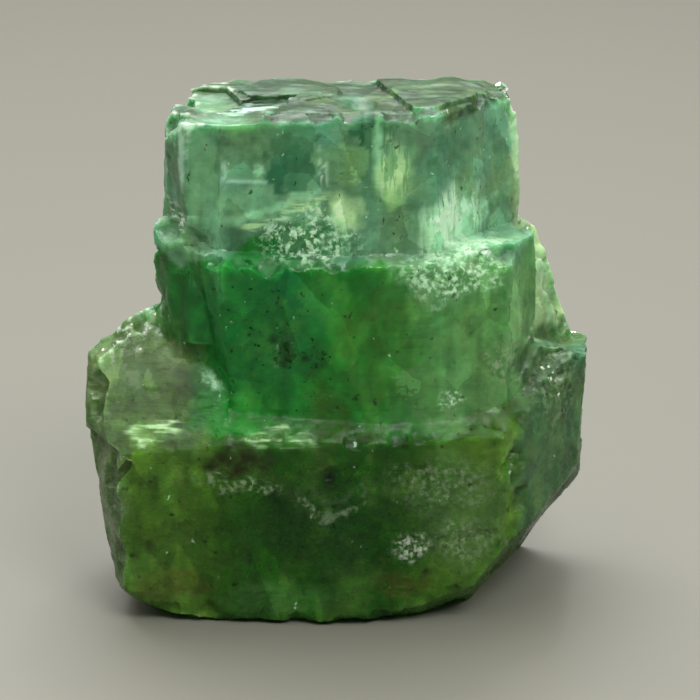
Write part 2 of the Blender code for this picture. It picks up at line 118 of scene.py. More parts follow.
class Bench:
    """Makes the nodes of one material or world."""

    def __init__(self, tree: bpy.types.NodeTree) -> None:
        """Start from an empty node tree."""
        self.tree = tree
        tree.nodes.clear()

    def place_node(
        self, kind: str, settings: Mapping[str, object], values: Mapping[str | int, object]
    ) -> bpy.types.Node:
        """Add a node.

        Args:
            kind: The node's type.
            settings: The node's own settings, which are set first.
            values: What goes into its sockets, as numbers or signals.

        Returns:
            The node.
        """
        made = self.tree.nodes.new(kind)
        for name, value in settings.items():
            setattr(made, name, value)
        for name, value in values.items():
            socket = made.inputs[name]
            if isinstance(value, Signal):
                self.tree.links.new(value.socket, socket)
            else:
                socket.default_value = value
        return made

    def node(
        self,
        kind: str,
        settings: Mapping[str, object] | None = None,
        values: Mapping[str | int, object] | None = None,
        output: str | int = 0,
    ) -> Signal:
        """Add a node as place_node does, and return the output that is wanted."""
        made = self.place_node(kind, settings or {}, values or {})
        return Signal(self, made.outputs[output])

    def place(self) -> Signal:
        """Return where the shaded point is in its object, in mm."""
        return self.vector("MULTIPLY", self.node("ShaderNodeTexCoord", output="Object"), (1 / MM,) * 3)

    def math(self, operation: str, first: Signal | float, second: Signal | float) -> Signal:
        """Return what a Math node makes of two numbers."""
        return self.node("ShaderNodeMath", {"operation": operation}, {0: first, 1: second})

    def vector(self, operation: str, first: Signal | Triple, second: Signal | Triple) -> Signal:
        """Return the vector that a Vector Math node makes of two."""
        return self.node("ShaderNodeVectorMath", {"operation": operation}, {0: first, 1: second})

    def measure(self, operation: str, first: Signal | Triple, second: Signal | Triple) -> Signal:
        """Return the number that a Vector Math node makes of two vectors, such as their dot product."""
        return self.node("ShaderNodeVectorMath", {"operation": operation}, {0: first, 1: second}, "Value")

    def mix(
        self, share: Signal | float, under: Signal | Colour, over: Signal | Colour, blend: Blend = Blend.OVER
    ) -> Signal:
        """Lay one colour over another.

        Args:
            share: How much of the upper colour shows, 0 to 1.
            under: The lower colour.
            over: The upper colour.
            blend: How the upper colour is laid on.

        Returns:
            The mixed colour.
        """
        under, over = (c if isinstance(c, Signal) else (*c, 1.0) for c in (under, over))
        settings = {"data_type": "RGBA", "blend_type": blend.value}
        return self.node("ShaderNodeMix", settings, {0: share, 6: under, 7: over}, 2)

    def noise(self, place: Signal, scale: float, detail: float = 3.0, output: str = "Fac") -> Signal:
        """Return soft noise, with about one lump to each 1/scale mm."""
        values = {"Vector": place, "Scale": scale, "Detail": detail}
        return self.node("ShaderNodeTexNoise", {}, values, output)

    def cells(self, place: Signal, scale: float, output: str) -> Signal:
        """Return one output of a pattern of cells, each about 1/scale mm wide."""
        return self.node("ShaderNodeTexVoronoi", {}, {"Vector": place, "Scale": scale}, output)

    def bump(self, height: Signal, depth: float, strength: float = 1.0) -> Signal:
        """Return the normal of a relief that is so many mm deep."""
        values = {"Strength": strength, "Distance": depth * MM, "Height": height}
        return self.node("ShaderNodeBump", {}, values)

    def facets(self, place: Signal, scale: float) -> Signal:
        """Make a surface of small flat facets, each with a tilt of its own.

        Args:
            place: The place to work it out for.
            scale: How many facets there are to a millimetre.

        Returns:
            The height of the surface there.
        """
        centre = self.cells(place, scale, "Position")
        tilt = self.vector("SUBTRACT", self.beside(centre, "Color"), (0.5, 0.5, 0.5))
        return self.measure("DOT_PRODUCT", self.vector("SUBTRACT", place, centre), tilt)

    def axes(self, place: Signal) -> tuple[Signal, Signal, Signal]:
        """Return the three numbers of a vector."""
        split = self.node("ShaderNodeSeparateXYZ", {}, {0: place}, "X")
        return split, self.beside(split, "Y"), self.beside(split, "Z")

    def beside(self, signal: Signal, output: str) -> Signal:
        """Return another output of the node that a signal comes from."""
        return Signal(self, signal.socket.node.outputs[output])


def new_material(name: str) -> tuple[bpy.types.Material, Bench]:
    """Start a material.

    Args:
        name: Its name.

    Returns:
        The material, without nodes, and the bench for making them.
    """
    material = bpy.data.materials.new(name)
    material.use_nodes = True
    return material, Bench(material.node_tree)


def close_surface(bench: Bench, values: Mapping[str | int, object]) -> None:
    """Give a material its Principled shader, with these values, and link it to the output."""
    shader = bench.node("ShaderNodeBsdfPrincipled", {}, values)
    bench.place_node("ShaderNodeOutputMaterial", {}, {"Surface": shader})


def piece_from(name: str, bm: bmesh.types.BMesh) -> bpy.types.Object:
    """Turn a bmesh into a piece.

    Args:
        name: The piece's name.
        bm: The bmesh, which is used up.

    Returns:
        The piece, linked into the scene.
    """
    mesh = bpy.data.meshes.new(name)
    bm.to_mesh(mesh)
    bm.free()
    obj = bpy.data.objects.new(name, mesh)
    bpy.context.scene.collection.objects.link(obj)
    return obj


class Weave(Enum):
    """What a patch is made of."""

    CLOUD = "soft cloud"
    SPOT = "plain spot"
    FACET = "flat-sided windows"
    RIM = "worn edges"
    SHARD = "upright splinters"
    GRAIN = "glittering crumbs"
    STREAK = "level streaks"


WOVEN = (Weave.SHARD, Weave.GRAIN, Weave.STREAK)


def smooth(values: np.ndarray, low: float, high: float) -> np.ndarray:
    """Return a smooth rise from 0 at low to 1 at high, or a fall where low is the larger."""
    share = ((values - low) / (high - low)).clip(0, 1)
    return share * share * (3 - 2 * share)


@dataclass(frozen=True)
class Patch:
    """A spot of another colour in the stone.

    Attributes:
        centre: Where it is.
        radii: How far it reaches along each axis.
        colour: Its colour.
        share: How much of the stone's own colour it covers, 0 to 1.
        weave: What it is made of.
        turn: How far it leans up to the right, in degrees.
        soft: The width of its soft rim, as a share of its reach.
    """

    centre: Triple
    radii: Triple
    colour: Colour
    share: float = 0.8
    weave: Weave = Weave.CLOUD
    turn: float = 0.0
    soft: float = 0.35

    def cover(self, places: np.ndarray) -> np.ndarray:
        """Work out where the patch lies.

        Args:
            places: One row of three numbers for each place, in mm.

        Returns:
            How much of the patch covers each place, 0 to 1.
        """
        x, y, z = (places - self.centre).T
        lean = radians(self.turn)
        away = np.stack((x * cos(lean) + z * sin(lean), y, z * cos(lean) - x * sin(lean)), 1) / self.radii
        return self.share * smooth(np.linalg.norm(away, axis=1), 1 + self.soft, 1 - self.soft)


@dataclass(frozen=True)
class Bow:
    """One ripple of a shell-like break, below the point that it spreads from.

    Attributes:
        centre: The point.
        radius: The ripple's radius.
        width: Its width.
        colour: Its colour.
        share: How much it covers, 0 to 1.
        weave: What it is made of.
    """

    centre: Triple
    radius: float
    width: float
    colour: Colour
    share: float = 0.6
    weave: Weave = Weave.SPOT

    def cover(self, places: np.ndarray) -> np.ndarray:
        """Work out where the ripple lies.

        Args:
            places: One row of three numbers for each place, in mm.

        Returns:
            How much of the ripple covers each place, 0 to 1.
        """
        away = places - self.centre
        reach = np.abs(np.linalg.norm(away, axis=1) - self.radius)
        below = smooth(away[:, 2], 0.1 * self.radius, -0.6 * self.radius)
        return self.share * below * smooth(reach, self.width, 0)


MINT = (0.36, 0.74, 0.42)
WHITE_MINT = (0.66, 0.98, 0.66)
LIME = (0.34, 0.66, 0.22)
PALE_LIME = (0.60, 0.92, 0.46)
ICE = (0.55, 0.84, 0.66)
WHITE = (0.80, 0.88, 0.74)
EMERALD = (0.006, 0.13, 0.03)
TEAL = (0.02, 0.14, 0.06)
OLIVE = (0.04, 0.10, 0.008)
BOTTLE = (0.003, 0.04, 0.002)
BROWN = (0.075, 0.07, 0.01)
UMBER = (0.018, 0.026, 0.002)
BLACK_GREEN = (0.002, 0.008, 0.001)
DUST = (0.30, 0.40, 0.24)

UPPER_PATCHES = (
    # Windows that look into the deep colour.
    Patch((-1.4, -3.4, 13.4), (0.85, 1.2, 0.85), TEAL, 0.8, Weave.FACET),
    Patch((0.5, -3.4, 13.9), (0.4, 1.2, 0.9), TEAL, 0.75, Weave.FACET),
    Patch((-3.8, -3.3, 13.2), (0.5, 1.2, 0.9), TEAL, 0.35, Weave.FACET),
    Patch((3.6, -3.0, 13.4), (0.9, 1.4, 0.8), TEAL, 0.35, Weave.FACET),
    Patch((2.2, -3.4, 11.5), (0.5, 1.2, 0.5), TEAL, 0.5, Weave.FACET),
    # Bright breaks inside.
    Patch((0.13, -3.4, 13.0), (0.42, 1.0, 0.42), LIME, 0.85, Weave.FACET),
    Patch((0.13, -3.4, 11.95), (0.5, 1.0, 0.5), PALE_LIME, 0.9),
    Patch((-0.9, -3.4, 11.85), (0.35, 1.0, 0.35), LIME, 0.9, Weave.GRAIN),
    Patch((0.99, -3.4, 13.6), (0.12, 1.0, 0.95), MINT, 0.9, Weave.SPOT),
    Patch((1.45, -3.4, 13.1), (0.45, 1.0, 0.75), PALE_LIME, 0.8, Weave.SHARD),
    Patch((1.45, -3.4, 13.0), (0.5, 1.0, 0.75), LIME, 0.4),
    Patch((1.5, -3.4, 12.25), (0.32, 1.0, 0.28), LIME, 0.7),
    Patch((1.95, -3.4, 14.15), (0.4, 1.0, 0.28), DUST, 0.6, Weave.FACET),
    Patch((-3.1, -3.4, 11.85), (0.26, 1.0, 0.28), WHITE_MINT, 0.8, Weave.FACET),
    Patch((-2.28, -3.4, 13.05), (0.14, 1.0, 0.18), MINT, 0.7, Weave.SPOT),
    Patch((-1.95, -3.4, 11.95), (1.45, 1.0, 0.14), MINT, 0.6, turn=21),
    Patch((-1.6, -3.4, 11.8), (1.3, 1.0, 0.2), PALE_LIME, 0.7, Weave.STREAK, turn=21),
    # Upright gleams and cracks.
    Patch((-4.42, -3.1, 13.3), (0.1, 1.2, 0.8), ICE, 0.85, Weave.SPOT),
    Patch((-3.26, -3.4, 12.95), (0.06, 1.0, 0.45), ICE, 0.5, Weave.SPOT),
    Patch((-2.65, -3.4, 12.68), (0.55, 1.0, 0.05), ICE, 0.5, Weave.SPOT),
    Patch((-0.57, -3.4, 13.3), (0.04, 1.0, 0.6), WHITE_MINT, 0.7, Weave.SPOT),
    Patch((-0.42, -3.4, 13.0), (0.035, 1.0, 0.4), WHITE_MINT, 0.5, Weave.SPOT),
    # The glittering break above the hem, and the fan of splinters at its right.
    Patch((-0.8, -3.5, 11.05), (1.2, 1.3, 0.6), EMERALD, 0.75),
    Patch((-0.8, -3.5, 11.1), (1.25, 1.3, 0.62), WHITE_MINT, 0.95, Weave.GRAIN),
    Patch((3.55, -3.0, 11.35), (1.35, 1.7, 0.85), MINT, 0.75),
    Patch((3.55, -3.0, 11.4), (1.35, 1.7, 0.95), WHITE_MINT, 1.0, Weave.SHARD),
    Patch((3.0, -3.1, 11.55), (0.35, 1.2, 0.6), WHITE_MINT, 0.6, Weave.FACET, turn=-20),
    Patch((3.9, -2.9, 11.25), (0.4, 1.2, 0.5), WHITE_MINT, 0.7, Weave.FACET, turn=30),
    Patch((3.1, -3.7, 10.1), (1.4, 1.4, 0.7), (0.2, 0.45, 0.18), 0.7),
    Patch((3.1, -3.7, 10.15), (1.4, 1.4, 0.65), WHITE_MINT, 0.9, Weave.GRAIN),
    # The top: a dark pocket, level streaks, frosted rims and a painted glint.
    Patch((0.3, -1.2, 14.4), (0.5, 0.7, 0.5), TEAL, 0.8),
    Patch((-2.7, -1.5, 14.4), (1.1, 0.6, 0.5), WHITE, 0.9, Weave.STREAK),
    Patch((0.0, -0.5, 14.5), (5.0, 3.0, 0.5), ICE, 0.12, Weave.STREAK),
    # A painted glint near the right end of the top front rim.
    Patch((3.45, -3.3, 14.25), (0.5, 0.7, 0.28), ICE, 0.7, Weave.GRAIN),
    Patch((-4.2, -0.6, 14.3), (1.5, 2.8, 0.9), WHITE, 0.6, Weave.RIM),
    Patch((0.0, -3.3, 14.5), (4.8, 0.8, 0.5), ICE, 0.2, Weave.RIM),
    Patch((4.5, -1.2, 13.8), (0.8, 2.0, 1.0), ICE, 0.25, Weave.RIM),
    # A painted highlight: a bright streak on the step at the top of the left column.
    Patch((-4.6, -2.9, 11.75), (0.5, 0.9, 0.2), WHITE, 0.95, Weave.STREAK, turn=-50),
    Patch((-4.6, -2.9, 11.75), (0.5, 0.9, 0.25), WHITE, 0.9, Weave.RIM, turn=-50),
)

MIDDLE_PATCHES = (
    Patch((-2.4, -3.8, 8.8), (2.2, 1.8, 2.1), EMERALD, 0.75),
    Patch((-1.75, -3.85, 10.1), (0.7, 1.2, 0.5), EMERALD, 0.8, Weave.FACET),
    Patch((0.9, -3.8, 9.9), (1.1, 1.2, 0.5), EMERALD, 0.5, Weave.FACET),
    Patch((0.9, -3.9, 8.2), (1.2, 1.2, 1.8), OLIVE, 0.5),
    Patch((-3.65, -3.7, 10.5), (0.4, 1.3, 1.1), MINT, 0.25, Weave.SHARD),
    Patch((-0.4, -4.0, 6.1), (0.7, 1.0, 0.8), OLIVE, 0.7),
    Patch((-1.53, -3.85, 7.93), (0.22, 0.6, 0.5), BLACK_GREEN, 0.9, Weave.GRAIN),
    Patch((-1.53, -3.85, 7.93), (0.2, 0.6, 0.42), BOTTLE, 0.6, Weave.SPOT),
    Patch((-1.92, -3.85, 8.37), (0.12, 0.6, 0.14), BLACK_GREEN, 0.7, Weave.SPOT),
    Patch((-1.0, -3.85, 7.8), (0.14, 0.6, 0.11), BLACK_GREEN, 0.7, Weave.SPOT),
    Patch((-0.72, -3.85, 7.62), (0.1, 0.6, 0.1), BLACK_GREEN, 0.6, Weave.SPOT),
    # A painted highlight along the lower edge of the green lobe.
    Patch((-3.6, -3.8, 7.1), (0.55, 1.0, 0.16), MINT, 0.6, turn=-38),
    Patch((-3.6, -3.8, 7.1), (0.55, 1.0, 0.18), WHITE_MINT, 0.7, Weave.GRAIN, turn=-38),
    Patch((3.2, -3.9, 6.7), (1.8, 1.4, 0.75), (0.13, 0.29, 0.10), 0.75, Weave.FACET),
    # Painted glints on the lower right of the middle block.
    Patch((3.0, -3.9, 6.6), (0.4, 1.0, 0.2), WHITE_MINT, 0.9, Weave.GRAIN),
    Patch((4.5, -3.0, 7.5), (0.5, 1.2, 0.7), DUST, 0.8, Weave.GRAIN),
    Patch((-1.86, -4.1, 5.55), (1.2, 0.9, 0.2), (0.12, 0.32, 0.07), 0.6),
    Patch((-1.86, -4.1, 5.6), (1.1, 0.9, 0.16), PALE_LIME, 0.6, Weave.STREAK),
    # The left shoulder.
    Patch((-5.25, -4.0, 5.65), (0.8, 1.2, 0.3), LIME, 0.35),
    Patch((-5.25, -4.0, 5.7), (0.8, 1.2, 0.3), PALE_LIME, 0.9, Weave.STREAK, turn=12),
    Patch((-5.6, -3.2, 7.2), (0.7, 1.4, 0.8), DUST, 0.4, Weave.FACET),
    Patch((-6.2, -1.6, 8.2), (1.5, 1.8, 1.0), WHITE, 0.9, Weave.RIM),
    Patch((-5.7, -2.6, 7.9), (0.6, 1.2, 0.35), DUST, 0.6, Weave.GRAIN),
    Patch((-6.9, -2.2, 6.0), (0.4, 1.2, 1.0), DUST, 0.6, Weave.STREAK),
)

LOWER_PATCHES = (
    Patch((-0.6, -4.35, 3.0), (2.1, 1.0, 1.7), BOTTLE, 0.75),
    Patch((-3.05, -4.3, 4.95), (1.1, 0.9, 0.45), UMBER, 1.0),
    Patch((-3.05, -4.3, 4.3), (1.2, 0.8, 0.16), DUST, 0.85, Weave.GRAIN, turn=-8),
    Patch((-0.33, -4.35, 4.46), (0.3, 0.5, 0.3), BOTTLE, 0.8, Weave.SPOT),
    Patch((-0.33, -4.35, 4.46), (0.15, 0.5, 0.15), BLACK_GREEN, 0.95, Weave.SPOT),
    Bow((-0.25, -4.35, 4.3), 0.55, 0.12, DUST, 0.12),
    Bow((-0.2, -4.35, 4.3), 0.92, 0.16, DUST, 0.75, Weave.GRAIN),
    Patch((-0.1, -4.35, 3.45), (0.4, 0.5, 0.12), DUST, 0.5, turn=12),
    Patch((2.85, -4.2, 4.3), (1.3, 0.9, 0.7), DUST, 0.5, Weave.GRAIN),
    Patch((2.05, -4.2, 2.4), (0.5, 0.9, 0.35), WHITE, 0.7, Weave.GRAIN),
    Patch((3.5, -4.0, 2.5), (0.9, 0.9, 0.6), DUST, 0.6, Weave.GRAIN),
    Patch((3.3, -4.1, 3.4), (1.2, 0.9, 1.6), (0.09, 0.17, 0.06), 0.5),
    Patch((-2.6, -4.3, 2.05), (0.1, 0.5, 0.28), BLACK_GREEN, 0.8, Weave.SPOT),
    Patch((-5.4, -4.2, 2.35), (0.14, 0.5, 0.25), BLACK_GREEN, 0.5, Weave.SPOT),
    Patch((2.39, -4.2, 1.58), (0.13, 0.5, 0.1), BLACK_GREEN, 0.8, Weave.SPOT),
    Patch((-4.8, -4.0, 1.1), (1.1, 0.9, 0.4), BROWN, 0.6),
    Patch((1.65, -4.1, 1.3), (0.8, 0.9, 0.4), BROWN, 0.6),
    Patch((-1.7, -4.0, 0.75), (1.8, 0.9, 0.5), (0.05, 0.15, 0.03), 0.7),
    Patch((-6.6, -3.0, 3.2), (0.6, 1.4, 2.2), (0.15, 0.21, 0.10), 0.75),
    Patch((-6.6, -3.2, 3.6), (0.5, 1.0, 1.8), DUST, 0.4, Weave.STREAK),
)

SIDE_PATCHES = (
    Patch((5.9, -1.6, 7.85), (0.7, 1.0, 0.25), WHITE, 0.8, Weave.STREAK),
    Patch((6.0, -1.0, 7.0), (0.9, 1.6, 0.7), WHITE, 0.3, Weave.RIM),
    Patch((6.9, -0.5, 7.2), (0.4, 1.2, 0.7), TEAL, 0.7),
    Patch((5.9, -1.8, 6.2), (0.9, 1.4, 1.2), DUST, 0.4, Weave.GRAIN),
    Patch((5.5, 0.6, 9.3), (0.5, 1.2, 1.0), (0.5, 0.68, 0.36), 0.6, Weave.FACET),
    Patch((5.2, 0.4, 10.8), (0.3, 0.8, 0.5), DUST, 0.8),
    Patch((0.5, 4.0, 12.3), (3.0, 1.8, 1.3), MINT, 0.6, Weave.FACET),
    Patch((-2.5, 4.0, 9.0), (2.0, 1.8, 1.6), EMERALD, 0.7, Weave.FACET),
    Patch((2.0, 4.4, 7.5), (2.5, 1.8, 0.9), WHITE_MINT, 0.8, Weave.GRAIN),
    Patch((-1.0, 4.4, 4.0), (3.5, 1.6, 2.2), BOTTLE, 0.6),
    Patch((3.0, 4.4, 3.0), (2.0, 1.6, 1.6), DUST, 0.6, Weave.GRAIN),
    Patch((-5.0, 2.6, 6.5), (1.6, 1.8, 1.0), PALE_LIME, 0.6, Weave.SHARD),
)


@dataclass(frozen=True)
class Clouding:
    """How the colours of the stone wander.

    Attributes:
        broad: The strength of the wide clouds.
        fine: The strength of the small clouds.
        streaks: The strength of the upright growth streaks.
        windows: The strength of the flat-sided windows.
        hue: How far the hue wanders.
        edges: How much the worn edges brighten.
        calm: How much of all this the clear upper block goes without.
        mist: What the palest mist adds to a colour.
        painted_ledge_shade: The share of red, green and blue that painted shade takes from the low level
            faces.
    """

    broad: float = 0.3
    fine: float = 0.25
    streaks: float = 0.22
    windows: float = 0.15
    hue: float = 0.14
    edges: float = 0.35
    calm: float = 0.3
    mist: Colour = (0.035, 0.05, 0.012)
    painted_ledge_shade: Colour = (0.55, 0.4, 0.7)


@dataclass(frozen=True)
class GrowthColours:
    """The colours of the stone's growth blocks, and what lies in them."""

    upper: Colour = (0.125, 0.30, 0.155)
    # The painted shade of the top faces.
    crown_painted_shade: Colour = (0.026, 0.06, 0.024)
    column: Colour = (0.018, 0.16, 0.024)
    middle: Colour = (0.014, 0.22, 0.022)
    middle_right: Colour = (0.10, 0.28, 0.085)
    lower: Colour = (0.065, 0.165, 0.014)
    lower_heart: Colour = (0.010, 0.085, 0.001)
    shoulder: Colour = (0.10, 0.18, 0.055)
    slope: Colour = (0.38, 0.58, 0.29)
    flank: Colour = (0.05, 0.13, 0.045)
    clouding: Clouding = Clouding()
    patches: tuple[Patch | Bow, ...] = MIDDLE_PATCHES + LOWER_PATCHES + UPPER_PATCHES + SIDE_PATCHES


class SkinPaint:
    """The colours of the skin, worked out point by point.

    Attributes:
        points: The points, in mm.
        normals: Their normals.
        worn: How worn each is, 0 to 1.
        loose: The points, shaken enough to fray the rim of a patch.
        close: The points, shaken a little.
        ground: The colour of each point.
        accent: The colour of what is woven over it there.
        shares: How much of each fine weave there is.
    """

    def __init__(
        self, points: np.ndarray, normals: np.ndarray, worn: np.ndarray, colours: GrowthColours
    ) -> None:
        """Paint every point.

        Args:
            points: The points, in mm.
            normals: Their normals.
            worn: How worn each is, 0 to 1.
            colours: What to paint with.
        """
        self.points = points
        self.normals = normals
        self.worn = worn
        self.ground = np.zeros_like(points)
        self.accent = np.tile(np.array(WHITE_MINT), (len(points), 1))
        self.shares = {weave: np.zeros(len(points)) for weave in WOVEN}
        self.loose = points + 0.3 * self.drift(1.3) + 0.13 * self.drift(4.2)
        self.close = points + 0.05 * self.drift(5.0)
        self.facet_places, self.facet_tones = self.facets((1.5, 1.5, 1.2))
        self.lay_zones(colours)
        self.lay_clouds(colours.clouding)
        self.lay_patches(colours.patches)

    def drift(self, scale: float) -> np.ndarray:
        """Return a soft random offset for each point."""
        return np.array([noise.noise_vector(Vector(point) * scale) for point in self.points])

    def cloud(self, stretch: Triple, octaves: int = 4) -> np.ndarray:
        """Return soft noise from about -0.5 to 0.5."""
        places = self.points * stretch
        return np.array([noise.fractal(Vector(place), 0.8, 2.0, octaves) for place in places])

    def facets(self, stretch: Triple) -> tuple[np.ndarray, np.ndarray]:
        """Divide the stone into flat-sided cells.

        Args:
            stretch: How many cells there are to a millimetre along each axis.

        Returns:
            The middle of the cell that each point is in, and that cell's own tone.
        """
        middles = np.array([noise.voronoi(Vector(place))[1][0] for place in self.loose * stretch])
        tones = np.array([noise.cell(Vector(middle)) for middle in middles])
        return middles / stretch, tones

    def lay(self, colour: Colour | np.ndarray, cover: np.ndarray) -> None:
        """Lay a colour over the ground."""
        self.ground += (colour - self.ground) * cover.clip(0, 1)[:, None]

    def lay_zones(self, colours: GrowthColours) -> None:
        """Paint the growth blocks, from the pale top to the dark foot.

        Args:
            colours: What to paint them with.
        """
        x, y, z = (self.loose + 0.25 * self.drift(0.6)).T
        self.lay(colours.middle, np.ones(len(x)))
        self.lay(colours.middle_right, smooth(x, 0.5, 3.6))
        self.lay(colours.column, smooth(x, -3.6, -4.2))
        # The upper block's hem hangs in scallops, and is drawn up over the deep green at the left.
        hem = HEM_HEIGHT + 0.12 * np.abs(np.sin(2.1 * x)) - 0.1 * smooth(x, -1.5, 0.5)
        hem += 0.6 * smooth(np.abs(x + 2.0), 0.9, 0.2)
        self.lay(colours.upper, smooth(z - hem, -0.08, 0.06))
        # A painted shade darkens the top: its level faces and the sides of the plates on top, but not the
        # outer rim.
        inside = smooth(self.points[:, 1], -3.3, -2.9) * smooth(np.abs(self.points[:, 0]), 4.6, 4.2)
        level = np.maximum(smooth(self.normals[:, 2], 0.3, 0.8), inside)
        self.lay(colours.crown_painted_shade, smooth(self.points[:, 2], 14.2, 14.4) * level)
        # The foot's upper edge climbs to the right.
        foot = smooth(z - 0.45 * (x - 3.0).clip(0), 5.75, 5.45)
        self.lay(colours.lower, foot)
        self.lay(colours.lower_heart, foot * smooth(np.abs(x + 0.6), 4.6, 1.6))
        edge = smooth(z + 0.5 * (x + 5.2), 8.6, 8.0)
        self.lay(colours.shoulder, smooth(x, -4.0, -4.6) * smooth(z, 5.1, 5.4) * edge)
        self.lay(colours.flank, smooth(x, 4.7, 5.2) * smooth(z, 8.0, 7.4))
        self.lay(colours.slope, smooth(x, 4.7, 5.0) * smooth(y, -0.9, -0.4) * smooth(z, 7.3, 7.7))

    def lay_clouds(self, clouding: Clouding) -> None:
        """Vary the colours by clouds, windows, upright streaks and mist, and paint shade on low level faces.

        Args:
            clouding: How strong each of them is.
        """
        broad = self.cloud((0.6, 0.6, 0.6))
        fine = self.cloud((2.2, 2.2, 2.2))
        streaks = self.cloud((3.5, 3.5, 0.5))
        tones = 1 + clouding.broad * broad + clouding.fine * fine + clouding.streaks * streaks
        tones += clouding.windows * self.facet_tones
        hues = clouding.hue * self.cloud((0.9, 0.9, 0.7), 3)[:, None] * (1.0, 0.0, -1.0)
        lively = 1 - clouding.calm * smooth(self.points[:, 2], 10.2, 10.8)
        edges = clouding.edges * smooth(self.worn + 0.4 * fine, 0.2, 0.7)
        self.ground *= (1 + lively * (tones.clip(0.45, 1.8) - 1 + edges))[:, None] * (1 + hues)
        mist = smooth(self.cloud((1.1, 1.1, 0.8)), -0.05, 0.55)
        self.ground += mist[:, None] * clouding.mist
        # Painted shade: the level faces low on the stone are darkened.
        painted_ledge_shade = smooth(self.normals[:, 2], 0.2, 0.8) * smooth(self.points[:, 2], 7.2, 6.4)
        self.ground *= 1 - painted_ledge_shade[:, None] * clouding.painted_ledge_shade

    def lay_patches(self, patches: Iterable[Patch | Bow]) -> None:
        """Lay the patches over the ground.

        Args:
            patches: The patches, lowest first.
        """
        frayed = 0.6 + 0.4 * smooth(self.cloud((3.0, 3.0, 3.0)), -0.3, 0.2)
        rim = smooth(self.worn + 0.5 * self.cloud((4.0, 4.0, 4.0)), 0.15, 0.6)
        for patch in patches:
            if patch.weave in WOVEN:
                cover = patch.cover(self.loose)
                self.accent += (np.array(patch.colour) - self.accent) * (cover > 0.05)[:, None]
                self.shares[patch.weave] = np.maximum(self.shares[patch.weave], cover)
            elif patch.weave is Weave.FACET:
                self.lay(patch.colour, patch.cover(self.facet_places) * (0.75 + 0.5 * self.facet_tones))
            elif patch.weave is Weave.SPOT:
                self.lay(patch.colour, patch.cover(self.close))
            else:
                texture = rim if patch.weave is Weave.RIM else frayed
                self.lay(patch.colour, patch.cover(self.loose) * texture)

    def store(self, mesh: bpy.types.Mesh) -> None:
        """Keep the paint on a mesh.

        Args:
            mesh: The mesh that the points are of.
        """
        for name, colours in (("ground", self.ground), ("accent", self.accent)):
            rows = np.ones((len(colours), 4))
            rows[:, :3] = colours.clip(0, 1)
            mesh.attributes.new(name, "FLOAT_COLOR", "POINT").data.foreach_set("color", rows.ravel())
        for weave, share in self.shares.items():
            mesh.attributes.new(weave.name.lower(), "FLOAT", "POINT").data.foreach_set("value", share)


